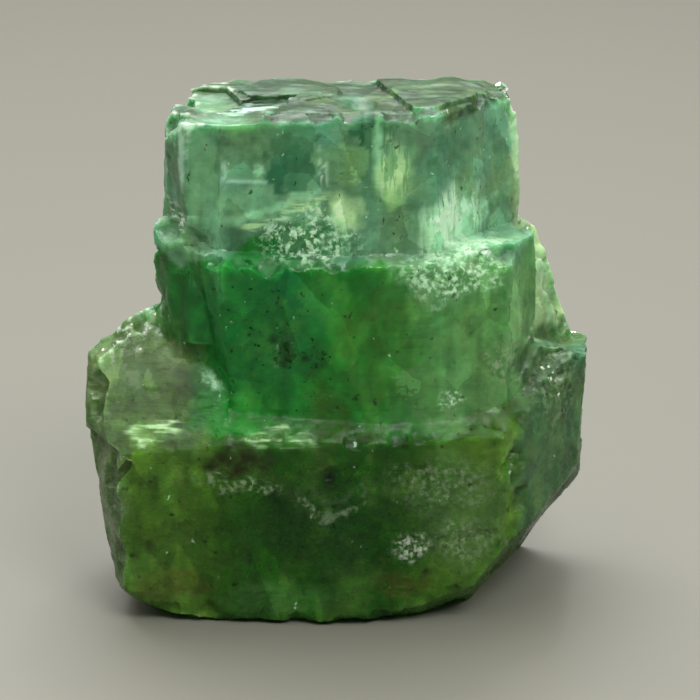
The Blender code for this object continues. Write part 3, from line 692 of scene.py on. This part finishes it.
@dataclass(frozen=True)
class EmeraldFinish:
    """The clear green of the stone.

    Attributes:
        transmission: The share of light that goes right through rather than being scattered.
        ior: The refractive index.
        sheen_level: The strength of its reflections, where 0.5 is what the index gives.
        tint: The colour that light keeps on its way through.
        density: How strongly the stone tints, in each metre of its depth.
        milk: The share of the scattered light that travels a way inside the stone first.
        milk_reach: How far its red, green and blue travel, each as a share of milk_scale.
        milk_scale: The longest way that it travels.
        polish: The roughness of a whole face.
        matte: The roughness of the lower block's faces.
        frost: The roughness of broken ground.
        fray: How far the rims of the fine weaves are shaken, in mm.
        shade: What is left of a colour in the darkest mottling.
        dim: What is left of a colour in the dimmest windows.
        glow: How much brighter the brightest windows are.
        grain: How far the fine grain of the roughness goes either way.
        layers: The height of the fine growth lines, where 1 is the depth of the relief.
        tooth: The height of the grain that is all over the stone.
        depth: The depth of the relief, in mm.
    """

    transmission: float = 0.35
    ior: float = 1.575
    sheen_level: float = 0.06
    tint: Colour = (0.35, 0.88, 0.42)
    density: float = 110.0
    milk: float = 0.7
    milk_reach: Colour = (0.35, 1.0, 0.45)
    milk_scale: float = 1.0
    polish: float = 0.07
    matte: float = 0.28
    frost: float = 0.48
    fray: float = 0.16
    shade: Colour = (0.4, 0.5, 0.4)
    dim: Colour = (0.45, 0.6, 0.5)
    glow: Colour = (2.3, 2.3, 2.5)
    grain: float = 0.16
    layers: float = 0.07
    tooth: float = 0.05
    depth: float = 0.3

    def material(self) -> bpy.types.Material:
        """Return the material of the skin."""
        material, bench = new_material("emerald")
        place = bench.place()
        shader = bench.node(
            "ShaderNodeBsdfPrincipled",
            {},
            {
                "Base Color": self.colour(bench, place),
                "Roughness": self.roughness(bench, place),
                "IOR": self.ior,
                "Specular IOR Level": self.sheen_level,
                "Transmission Weight": self.transmission,
                "Subsurface Weight": self.milk,
                "Subsurface Radius": self.milk_reach,
                "Subsurface Scale": self.milk_scale * MM,
                "Normal": self.relief(bench, place),
            },
        )
        tint = {"Color": (*self.tint, 1.0), "Density": self.density}
        volume = bench.node("ShaderNodeVolumeAbsorption", {}, tint)
        bench.place_node("ShaderNodeOutputMaterial", {}, {"Surface": shader, "Volume": volume})
        return material

    def kept(self, bench: Bench, name: str, output: str = "Fac") -> Signal:
        """Return what the skin keeps under a name."""
        return bench.node("ShaderNodeAttribute", {"attribute_name": name}, output=output)

    def colour(self, bench: Bench, place: Signal) -> Signal:
        """Lay the fine work, the painted glints and the dark specks over the painted colour.

        Args:
            bench: The material's bench.
            place: The place, in mm.

        Returns:
            The colour there.
        """
        mottle = bench.noise(place, 3.5, 4.0)
        shake = bench.vector("MULTIPLY", bench.noise(place, 7.0, 2.0, "Color"), (self.fray,) * 3)
        frayed = bench.vector("ADD", place, shake)
        colour = self.windows(bench, frayed, mottle)
        colour = self.weaves(bench, place, frayed, colour)
        glints_and_specks = bench.noise(bench.vector("MULTIPLY", frayed, (4.5, 4.5, 3.0)), 1.0, 2.0)
        # Painted glints: the brightest flecks are tiny white sparkles of light.
        colour = bench.mix(glints_and_specks.rise(0.72, 0.78) * 0.6, colour, WHITE_MINT)
        return bench.mix(glints_and_specks.rise(0.32, 0.26) * 0.7, colour, BLACK_GREEN)

    def windows(self, bench: Bench, frayed: Signal, mottle: Signal) -> Signal:
        """Look into the stone through small upright windows, some dim and some bright.

        Args:
            bench: The material's bench.
            frayed: The shaken place, in mm.
            mottle: Soft noise there.

        Returns:
            The painted colour with the mottling and the windows.
        """
        ground = self.kept(bench, "ground", "Color")
        size = bench.vector("MULTIPLY", frayed, (1.15, 1.15, 0.75))
        tone = bench.axes(bench.cells(size, 1.0, "Color"))[0]
        bright = bench.mix(1.0, ground, self.glow, Blend.STAIN)
        colour = bench.mix(mottle.rise(0.6, 0.35) * 0.3, ground, self.shade, Blend.STAIN)
        colour = bench.mix(tone.rise(0.5, 0.0) * 0.28, colour, self.dim, Blend.STAIN)
        return bench.mix(tone.rise(0.6, 1.0) * 0.3, colour, bright)

    def weaves(self, bench: Bench, place: Signal, frayed: Signal, colour: Signal) -> Signal:
        """Weave the level streaks, the upright splinters and the glittering crumbs into a colour.

        Args:
            bench: The material's bench.
            place: The place, in mm.
            frayed: The shaken place.
            colour: What they are woven into.

        Returns:
            The woven colour.
        """
        accent = self.kept(bench, "accent", "Color")
        fibre = bench.noise(bench.vector("MULTIPLY", place, (9.0, 9.0, 1.2)), 1.0, 3.0)
        streak = bench.noise(bench.vector("MULTIPLY", place, (0.9, 3.0, 7.0)), 1.0, 4.0)
        plate = bench.axes(bench.cells(bench.vector("MULTIPLY", frayed, (2.4, 2.4, 0.8)), 1.0, "Color"))[0]
        crumb = bench.noise(frayed, 6.5, 6.0) + 0.16 * bench.axes(bench.cells(frayed, 7.0, "Color"))[1]
        covers = {
            Weave.STREAK: streak.rise(0.46, 0.62),
            Weave.SHARD: plate.rise(0.15, 0.5) * fibre.rise(0.36, 0.52),
            Weave.GRAIN: crumb.rise(0.5, 0.78),
        }
        for weave, cover in covers.items():
            colour = bench.mix(cover * self.kept(bench, weave.name.lower()), colour, accent)
        return colour

    def roughness(self, bench: Bench, place: Signal) -> Signal:
        """Polish the stone above, dull it at the foot and frost it where it is broken.

        Args:
            bench: The material's bench.
            place: The place, in mm.

        Returns:
            The roughness there.
        """
        _, _, height = bench.axes(place)
        face = self.polish + (self.matte - self.polish) * height.rise(8.5, 4.5)
        face = face + self.grain * (bench.noise(place, 6.0, 3.0) - 0.5)
        return face.most(self.frost * self.kept(bench, "matte"))

    def relief(self, bench: Bench, place: Signal) -> Signal:
        """Raise facets on broken ground, growth lines on whole faces and grain all over.

        Args:
            bench: The material's bench.
            place: The place, in mm.

        Returns:
            The bumped normal.
        """
        broken = self.kept(bench, "broken")
        lines = bench.noise(bench.vector("MULTIPLY", place, (1.0, 1.0, 5.0)), 1.6, 4.0)
        height = (
            bench.facets(place, 2.6) * (0.06 + 0.5 * broken)
            + bench.facets(place, 7.0) * (0.05 + 0.4 * broken)
            + self.layers * lines
            + self.tooth * bench.noise(place, 7.0, 4.0)
        )
        return bench.bump(height, self.depth)


@dataclass(frozen=True)
class FlakeFinish:
    """The bright break surfaces inside the stone."""

    colour: Colour = (0.62, 0.9, 0.62)
    deep: Colour = (0.30, 0.62, 0.30)
    roughness: float = 0.3
    ior: float = 1.6

    def material(self) -> bpy.types.Material:
        """Return the material of the flakes."""
        material, bench = new_material("bright_flake")
        place = bench.place()
        shade = bench.noise(place, 1.5, 3.0)
        colour = bench.mix(shade.rise(0.3, 0.7), self.deep, self.colour)
        close_surface(bench, {"Base Color": colour, "Roughness": self.roughness, "IOR": self.ior})
        return material


@dataclass(frozen=True)
class SpeckFinish:
    """The dark mica and ore in and on the stone."""

    colour: Colour = (0.002, 0.030, 0.002)
    green: Colour = (0.012, 0.060, 0.004)
    sheen_level: float = 0.05

    def material(self) -> bpy.types.Material:
        """Return the material of the specks."""
        material, bench = new_material("dark_mineral")
        place = bench.place()
        shade = bench.noise(place, 4.0, 2.0)
        colour = bench.mix(shade.rise(0.4, 0.7), self.colour, self.green)
        roughness = 0.45 + 0.3 * shade
        values = {"Base Color": colour, "Roughness": roughness, "Specular IOR Level": self.sheen_level}
        close_surface(bench, values)
        return material


@dataclass(frozen=True)
class GrainFinish:
    """The off-white grains that cling to the outside."""

    colour: Colour = (0.66, 0.68, 0.55)
    stained: Colour = (0.38, 0.46, 0.33)
    grit: float = 0.05

    def material(self) -> bpy.types.Material:
        """Return the material of the grains."""
        material, bench = new_material("pale_grain")
        place = bench.place()
        shade = bench.noise(place, 6.0, 3.0)
        colour = bench.mix(shade.rise(0.35, 0.65), self.stained, self.colour)
        relief = bench.bump(shade, self.grit, 0.6)
        close_surface(bench, {"Base Color": colour, "Roughness": 0.4 + 0.3 * shade, "Normal": relief})
        return material


def relaxed(points: np.ndarray, edges: np.ndarray, rounds: int) -> np.ndarray:
    """Return the points after each has moved halfway to the mean of its neighbours, several times.

    Args:
        points: One row of three numbers for each point.
        edges: One row of two point numbers for each edge.
        rounds: How many times they move.

    Returns:
        The moved points.
    """
    ends = np.concatenate((edges[:, 0], edges[:, 1]))
    others = np.concatenate((edges[:, 1], edges[:, 0]))
    count = np.bincount(ends, minlength=len(points)).clip(1)
    for _ in range(rounds):
        means = [np.bincount(ends, points[others, axis], len(points)) / count for axis in range(3)]
        points = (points + np.stack(means, 1)) / 2
    return points


@dataclass
class CrystalSkin:
    """The outside of the stone: a fine copy of the solid with the relief that is too small for it.

    Attributes:
        finish: Its finish.
        colours: What it is painted with.
        depth: How often the remesher halves its grid.
        fill: The share of that grid that the stone spans.
        rounds: How much the sharp arrises are worn.
        melt_rounds: How much they would be worn in a stone without arrises, which shows where they are.
        worn_height: How far above that stone an arris is that counts as fully worn.
        swell: How far the faces swell and dip.
        layer: The thickness of a growth layer.
        splinter: How far the splinters of broken ground stand out.
        splinter_scale: How many of them there are to a millimetre.
        crumb: How far the crumbs stand out, as a share of the splinters.
        crumb_scale: How many of them there are to a millimetre.
        flat_foot: How high the flat underside goes, which is left as it is.
        level_frost: How frosted a level face is, 0 to 1.
        crease: The angle past which an edge stays sharp, in degrees.
    """

    finish: EmeraldFinish = field(default_factory=EmeraldFinish)
    colours: GrowthColours = field(default_factory=GrowthColours)
    depth: int = 8
    fill: float = 0.62
    rounds: int = 2
    melt_rounds: int = 14
    worn_height: float = 0.12
    swell: float = 0.06
    layer: float = 0.035
    splinter: float = 0.11
    splinter_scale: float = 1.9
    crumb: float = 0.35
    crumb_scale: float = 4.3
    flat_foot: float = 0.03
    level_frost: float = 0.8
    crease: float = 38.0

    def build(self) -> bpy.types.Object:
        """Return the finished skin."""
        skin = self.fine_copy()
        self.weather(skin.data)
        skin.data.materials.clear()
        skin.data.materials.append(self.finish.material())
        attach(skin, BODY)
        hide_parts(STONE)
        log.info("crystal_skin: %d faces", len(skin.data.polygons))
        return skin

    def fine_copy(self) -> bpy.types.Object:
        """Return an evenly meshed copy of the solid."""
        bm = bmesh.new()
        bm.from_mesh(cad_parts[STONE].data)
        bmesh.ops.remove_doubles(bm, verts=bm.verts, dist=1e-7)
        skin = piece_from("crystal_skin", bm)
        remesh = skin.modifiers.new("even", "REMESH")
        remesh.mode = "SHARP"
        remesh.octree_depth = self.depth
        remesh.scale = self.fill
        remesh.sharpness = 1.0
        shape = skin.evaluated_get(bpy.context.evaluated_depsgraph_get())
        mesh = bpy.data.meshes.new_from_object(shape)
        skin.modifiers.clear()
        skin.data = mesh
        return skin

    def broken_ground(self, place: Vector, normal: Vector) -> float:
        """Work out how broken the surface is.

        Args:
            place: The place, in mm.
            normal: The way that the surface faces there.

        Returns:
            A number from 0 on a whole face to 1 on splinters.
        """
        x, _, z = place
        upper_step = max(0.0, 1 - abs(z - 10.6) / 0.55) * (0.9 if x > 1.5 else 0.45)
        shards = max(0.0, 1 - ((x - 3.6) / 1.6) ** 2 - ((z - 11.4) / 0.9) ** 2) if normal.y < 0 else 0.0
        lower_step = max(0.0, 1 - abs(z - 5.8 - 0.3 * max(0.0, x - 3.2)) / 0.5) * 0.8
        flank = 0.3 if normal.x > 0.4 and z < 8 else 0.0
        slope = 0.6 if x > 5.0 and z > 7 else 0.0
        back = 0.35 if normal.y > 0.3 else 0.0
        top = 0.2 if normal.z > 0.7 and z > 13.5 else 0.0
        patchy = max(0.0, noise.noise(place * 0.7)) * 0.8
        return min(1.0, max(upper_step, shards, lower_step, flank, slope, back, top) + patchy)

    def rise(self, place: Vector, broken: float) -> float:
        """Work out how far the surface stands out.

        Args:
            place: The place, in mm.
            broken: How broken the surface is there.

        Returns:
            How far it is moved along its normal, in mm.
        """
        swell = self.swell * noise.fractal(place * 0.5, 1.0, 2.0, 3)
        level = noise.noise(Vector((place.x * 0.8, place.y * 0.8, place.z * 0.45)) + Vector((9, 3, 5)))
        layers = self.layer * floor(level * 5)
        seed = noise.voronoi(place * self.splinter_scale)[1][0]
        lean = noise.noise_vector(seed * 7.3)
        splinter = self.splinter * broken * lean.dot(place * self.splinter_scale - seed)
        small = noise.voronoi(place * self.crumb_scale)[1][0]
        tilt = noise.noise_vector(small * 5.1)
        reach = self.crumb * self.splinter * (0.2 + broken)
        crumb = reach * tilt.dot(place * self.crumb_scale - small)
        return swell + layers * (1 - 0.5 * broken) + splinter + crumb

    def weather(self, mesh: bpy.types.Mesh) -> None:
        """Wear the arrises, raise the relief and paint each point.

        Args:
            mesh: The skin's mesh.
        """
        points = np.empty((len(mesh.vertices), 3))
        edges = np.empty((len(mesh.edges), 2), int)
        normals = np.empty_like(points)
        mesh.vertices.foreach_get("co", points.ravel())
        mesh.edges.foreach_get("vertices", edges.ravel())
        points /= MM
        foot = points[:, 2] < self.flat_foot
        worn_points = relaxed(points, edges, self.rounds)
        melted = relaxed(points, edges, self.melt_rounds)
        worn_points[foot] = points[foot]
        mesh.vertices.foreach_set("co", (worn_points * MM).ravel())
        mesh.update()
        mesh.vertices.foreach_get("normal", normals.ravel())
        worn = ((worn_points - melted) * normals).sum(1) / self.worn_height
        broken = np.zeros(len(points))
        for index, (point, normal) in enumerate(zip(worn_points, normals)):
            place = Vector(point)
            ground = self.broken_ground(place, Vector(normal))
            broken[index] = ground
            if not foot[index]:
                worn_points[index] += normal * self.rise(place, ground)
        worn_points[:, 2] = worn_points[:, 2].clip(0)
        mesh.vertices.foreach_set("co", (worn_points * MM).ravel())
        step = smooth(np.abs(worn_points[:, 2] - STEP_HEIGHT), 1.0, 0.5)
        level = self.level_frost * smooth(normals[:, 2], 0.3, 0.8)
        matte = np.maximum.reduce((broken, level, step))
        for name, values in (("broken", broken), ("matte", matte)):
            mesh.attributes.new(name, "FLOAT", "POINT").data.foreach_set("value", values)
        SkinPaint(worn_points, normals, worn.clip(0, 1), self.colours).store(mesh)
        mesh.shade_smooth()
        mesh.set_sharp_from_angle(angle=radians(self.crease))
        mesh.update()


@dataclass(frozen=True)
class Veil:
    """A curved sheet of tiny flakes inside the stone.

    Attributes:
        centre: The middle of the sheet.
        facing: The way it faces.
        radii: Its two half lengths.
        count: How many flakes it has.
        flake: How large they are.
    """

    centre: Triple
    facing: Triple
    radii: tuple[float, float]
    count: int
    flake: float = 0.09


@dataclass
class InnerFlakes:
    """The veils, which are healed cracks full of tiny bright flakes.

    Attributes:
        skin: The skin that they are inside.
        finish: Their finish.
        cover: How deep under the skin a flake is at least.
        thickness: How thick it is.
        lean: How far it leans out of its sheet, in radians.
        seed: The seed of their random places.
        veils: The sheets.
    """

    skin: bpy.types.Object
    finish: FlakeFinish = field(default_factory=FlakeFinish)
    cover: float = 0.08
    thickness: float = 0.012
    lean: float = 0.35
    seed: int = 31
    veils: tuple[Veil, ...] = (
        Veil((3.5, -2.7, 11.5), (0.2, -1, 0.25), (1.3, 0.75), 260, 0.13),
        Veil((3.2, -2.9, 10.3), (0, -1, 0.5), (1.5, 0.4), 120),
        Veil((0.1, -3.0, 12.0), (0.1, -1, 0.4), (0.6, 0.4), 90, 0.11),
        Veil((1.3, -3.0, 12.3), (0, -1, 0.2), (0.4, 0.25), 50),
        Veil((0.2, -3.0, 12.9), (-0.2, -1, 0), (0.3, 0.45), 50),
        Veil((-2.2, -3.0, 11.9), (0, -1, 0.5), (1.6, 0.25), 90),
        Veil((-0.9, -3.3, 11.0), (0, -1, 0.8), (1.5, 0.6), 160, 0.06),
        Veil((-1.7, -3.8, 5.6), (0, -1, 0.7), (1.0, 0.25), 80),
        Veil((-5.0, -3.2, 6.4), (-0.3, -1, 0.6), (1.0, 0.8), 120),
        Veil((3.2, -3.6, 3.6), (0.2, -1, 0.1), (0.7, 1.3), 110, 0.06),
        Veil((5.6, -0.6, 6.0), (1, -0.6, 0.1), (1.0, 1.2), 110, 0.06),
        Veil((0, 0.5, 12.5), (0.3, 1, 0.1), (3.0, 1.2), 220, 0.1),
        Veil((-1.5, 1.8, 8.0), (-0.4, 1, 0.3), (2.8, 1.6), 220, 0.1),
        Veil((1.0, 2.4, 4.0), (0.3, 1, -0.2), (3.2, 1.8), 220, 0.1),
    )

    def build(self) -> bpy.types.Object:
        """Return all the flakes as one piece."""
        rng = random.Random(self.seed)
        shell = skin_tree(self.skin)
        bm = bmesh.new()
        for veil in self.veils:
            self.add_veil(bm, veil, shell, rng)
        flakes = piece_from("inner_flakes", bm)
        flakes.data.materials.append(self.finish.material())
        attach(flakes, BODY)
        log.info("inner_flakes: %d faces", len(flakes.data.polygons))
        return flakes

    def add_veil(self, bm: bmesh.types.BMesh, veil: Veil, shell: BVHTree, rng: random.Random) -> None:
        """Add the flakes of one veil, leaving out those that would come outside the stone.

        Args:
            bm: The bmesh that they are added to.
            veil: The veil.
            shell: The skin's search tree.
            rng: What draws their places and sizes.
        """
        facing = Vector(veil.facing).normalized()
        turn = facing.to_track_quat("Z", "Y").to_matrix().to_4x4()
        for _ in range(veil.count):
            reach, around = rng.random() ** 0.6, rng.uniform(0, 2 * pi)
            u, v = veil.radii[0] * reach * cos(around), veil.radii[1] * reach * sin(around)
            bulge = 0.24 * noise.noise(Vector((u, v, veil.centre[2])))
            middle = Vector(veil.centre) + turn.to_3x3() @ Vector((u, v, bulge))
            if not buried(shell, middle, self.cover):
                continue
            size = veil.flake * rng.uniform(0.4, 1.3)
            lean = Matrix.Rotation(rng.gauss(0, self.lean), 4, "X")
            spin = Matrix.Rotation(rng.uniform(0, 2 * pi), 4, "Z")
            stretch = Matrix.Diagonal((rng.uniform(0.6, 1.8), 1.0, 1.0, 1.0))
            bmesh.ops.create_cone(
                bm, cap_ends=True, segments=rng.choice((3, 4, 5)), radius1=size * MM, radius2=size * 0.9 * MM,
                depth=self.thickness * MM,
                matrix=Matrix.Translation(middle * MM) @ turn @ (lean @ spin) @ stretch,
            )


def skin_tree(skin: bpy.types.Object) -> BVHTree:
    """Make the search tree of the skin's faces.

    Args:
        skin: The skin.

    Returns:
        The tree, in mm.
    """
    bm = bmesh.new()
    bm.from_mesh(skin.data)
    bmesh.ops.scale(bm, vec=(1 / MM,) * 3, verts=bm.verts)
    tree = BVHTree.FromBMesh(bm)
    bm.free()
    return tree


def buried(shell: BVHTree, place: Vector, cover: float) -> bool:
    """Return whether a place is inside the skin and more than some way from it."""
    surface, normal, _, distance = shell.find_nearest(place)
    return distance > cover and (place - surface).dot(normal) < 0


@dataclass(frozen=True)
class Scatter:
    """A spread of small bodies on the stone's outside.

    Attributes:
        centre: The middle of the spread.
        radii: How far it reaches.
        count: How many bodies it has.
        sizes: The smallest and the largest radius.
    """

    centre: Triple
    radii: Triple
    count: int
    sizes: tuple[float, float]


@dataclass
class SurfaceBodies:
    """Small mineral bodies set in the skin.

    Attributes:
        name: The piece's name.
        skin: The skin that they are set in.
        make_finish: What gives their material.
        scatters: Where they are.
        flatness: How thin they are across the surface.
        sunk: How far each is sunk, as a share of its size.
        spread: How far most of them are from the middle, as a share of the reach.
        uneven: How far their corners are shaken, as a share of their size.
        seed: The seed of their random places.
    """

    name: str
    skin: bpy.types.Object
    make_finish: Callable[[], bpy.types.Material]
    scatters: Iterable[Scatter]
    flatness: float
    sunk: float
    spread: float = 0.45
    uneven: float = 0.16
    seed: int = 5

    def build(self) -> bpy.types.Object:
        """Return all the bodies as one piece."""
        rng = random.Random(self.seed)
        shell = skin_tree(self.skin)
        bm = bmesh.new()
        for scatter in self.scatters:
            for _ in range(scatter.count):
                self.add_body(bm, scatter, shell, rng)
        bodies = piece_from(self.name, bm)
        bodies.data.materials.append(self.make_finish())
        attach(bodies, BODY)
        log.info("%s: %d faces", self.name, len(bodies.data.polygons))
        return bodies

    def add_body(self, bm: bmesh.types.BMesh, scatter: Scatter, shell: BVHTree, rng: random.Random) -> None:
        """Add one uneven body where the skin is nearest to a random place.

        Args:
            bm: The bmesh that it is added to.
            scatter: The spread that it belongs to.
            shell: The skin's search tree.
            rng: What draws its place, size and shape.
        """
        offset = Vector([rng.gauss(0, self.spread) * radius for radius in scatter.radii])
        surface, normal, _, _ = shell.find_nearest(Vector(scatter.centre) + offset)
        small, large = scatter.sizes
        size = small + (large - small) * rng.random() ** 3
        facing = normal.to_track_quat("Z", "Y").to_matrix().to_4x4()
        turn = facing @ Matrix.Rotation(rng.uniform(0, 2 * pi), 4, "Z")
        shape = Matrix.Diagonal((size * rng.uniform(0.8, 1.6), size, size * self.flatness, 1.0))
        middle = surface - normal * size * self.flatness * self.sunk
        made = bmesh.ops.create_icosphere(
            bm, subdivisions=1, radius=MM, matrix=Matrix.Translation(middle * MM) @ turn @ shape)
        for vert in made["verts"]:
            shake = Vector([rng.uniform(-self.uneven, self.uneven) for _ in range(3)])
            vert.co += shake * size * self.flatness * MM


SPECKS = (
    # On the front: the middle block's dust and its two clusters, and the lower block.
    Scatter((-1.9, -4, 8.6), (1.8, 0.5, 1.8), 110, (0.012, 0.05)),
    Scatter((-1.5, -4, 7.9), (0.16, 0.5, 0.6), 14, (0.03, 0.1)),
    Scatter((-0.7, -4, 7.9), (0.5, 0.5, 0.4), 16, (0.02, 0.06)),
    Scatter((-1.0, -4.4, 3.0), (4.0, 0.5, 2.0), 40, (0.02, 0.08)),
    # All over the back.
    Scatter((0, 4, 6.5), (5.0, 0.5, 4.5), 70, (0.02, 0.09)),
)

GRAINS = (
    Scatter((5.5, 0.9, 10.2), (0.4, 0.5, 0.5), 6, (0.06, 0.2)),
    Scatter((5.8, -1.9, 6.6), (0.8, 0.8, 1.0), 7, (0.03, 0.06)),
    Scatter((-6.0, -1.9, 8.0), (1.0, 0.8, 0.6), 14, (0.03, 0.08)),
)


@dataclass(frozen=True)
class Softbox:
    """A soft light that faces the stone.

    Attributes:
        name: Its name.
        place: Where it hangs.
        width: How wide it is.
        power: Its power, in watts.
    """

    name: str
    place: Triple
    width: float
    power: float


@dataclass
class Studio:
    """The floor, the light and the camera.

    Attributes:
        floor_radius: The floor's radius.
        floor_drop: How far it lies under the stone, so that the two don't touch.
        floor_colour: Its colour.
        low_sky: The light from the sides.
        high_sky: The light from above.
        softboxes: The lights.
        target: What the camera and the lights face.
        distance: How far the camera is from it.
        elevation: How far the camera looks down, in degrees.
        lens: Its focal length, in mm.
    """

    floor_radius: float = 1500.0
    floor_drop: float = 0.02
    floor_colour: Colour = (0.137, 0.134, 0.110)
    low_sky: Colour = (0.11, 0.11, 0.095)
    high_sky: Colour = (1.8, 1.8, 1.72)
    softboxes: tuple[Softbox, ...] = (
        Softbox("top_softbox", (-15, 60, 130), 110, 0.27),
        Softbox("front_softbox", (40, -90, 110), 50, 0.17),
        Softbox("left_spark", (-45, -80, 90), 6, 0.006),
        Softbox("right_spark", (60, -60, 70), 6, 0.006),
        Softbox("rim_spark", (20, 70, 110), 8, 0.012),
    )
    target: Triple = (0.23, -0.90, 7.2)
    distance: float = 100.0
    elevation: float = 16.5
    lens: float = 180.0

    def build(self) -> None:
        """Build all of it."""
        self.add_floor()
        self.light_world()
        for softbox in self.softboxes:
            self.add_softbox(softbox)
        self.add_camera()

    def add_floor(self) -> None:
        """Lay the plain pale floor."""
        bm = bmesh.new()
        bmesh.ops.create_circle(bm, cap_ends=True, segments=96, radius=self.floor_radius * MM)
        bmesh.ops.translate(bm, verts=bm.verts, vec=(0, 0, -self.floor_drop * MM))
        ground = piece_from("floor", bm)
        material, bench = new_material("pale_floor")
        place = bench.place()
        tone = bench.noise(place, 0.02, 2.0)
        colour = bench.mix(tone, tuple(c * 0.94 for c in self.floor_colour), self.floor_colour)
        close_surface(bench, {"Base Color": colour, "Roughness": 0.55})
        ground.data.materials.append(material)

    def light_world(self) -> None:
        """Light the scene from all round, most from above and behind."""
        world = bpy.data.worlds.new("soft_studio")
        world.use_nodes = True
        bpy.context.scene.world = world
        bench = Bench(world.node_tree)
        facing = bench.node("ShaderNodeTexCoord", output="Generated")
        _, back, up = bench.axes(facing)
        sky = (up + 0.1 * back).rise(0.2, 1.0)
        colour = bench.mix(sky, self.low_sky, self.high_sky)
        light = bench.node("ShaderNodeBackground", {}, {"Color": colour, "Strength": 1.0})
        bench.place_node("ShaderNodeOutputWorld", {}, {"Surface": light})

    def add_softbox(self, softbox: Softbox) -> None:
        """Hang a light that faces the stone.

        Args:
            softbox: The light.
        """
        lamp = bpy.data.lights.new(softbox.name, "AREA")
        lamp.energy = softbox.power
        lamp.size = softbox.width * MM
        box = bpy.data.objects.new(softbox.name, lamp)
        box.location = Vector(softbox.place) * MM
        box.rotation_euler = (Vector(self.target) * MM - box.location).to_track_quat("-Z", "Y").to_euler()
        bpy.context.scene.collection.objects.link(box)

    def add_camera(self) -> None:
        """Set the camera in front of the stone, a little above it."""
        lens = bpy.data.cameras.new("camera")
        lens.lens = self.lens
        lens.clip_start = MM
        camera = bpy.data.objects.new("camera", lens)
        tilt = radians(self.elevation)
        away = Vector((0, -cos(tilt), sin(tilt))) * self.distance
        camera.location = (Vector(self.target) + away) * MM
        camera.rotation_euler = (pi / 2 - tilt, 0, 0)
        bpy.context.scene.collection.objects.link(camera)
        bpy.context.scene.camera = camera


def main() -> None:
    """Dress the stone and set up the studio."""
    logging.basicConfig(level=logging.INFO, format="%(name)s: %(message)s")
    noise.seed_set(NOISE_SEED)
    skin = CrystalSkin().build()
    InnerFlakes(skin).build()
    SurfaceBodies("dark_specks", skin, SpeckFinish().material, SPECKS, flatness=0.35, sunk=0.4).build()
    SurfaceBodies("pale_grains", skin, GrainFinish().material, GRAINS, flatness=0.7, sunk=0.2).build()
    Studio().build()
    bpy.context.scene.view_settings.view_transform = "Standard"


if __name__ == "__main__":
    main()
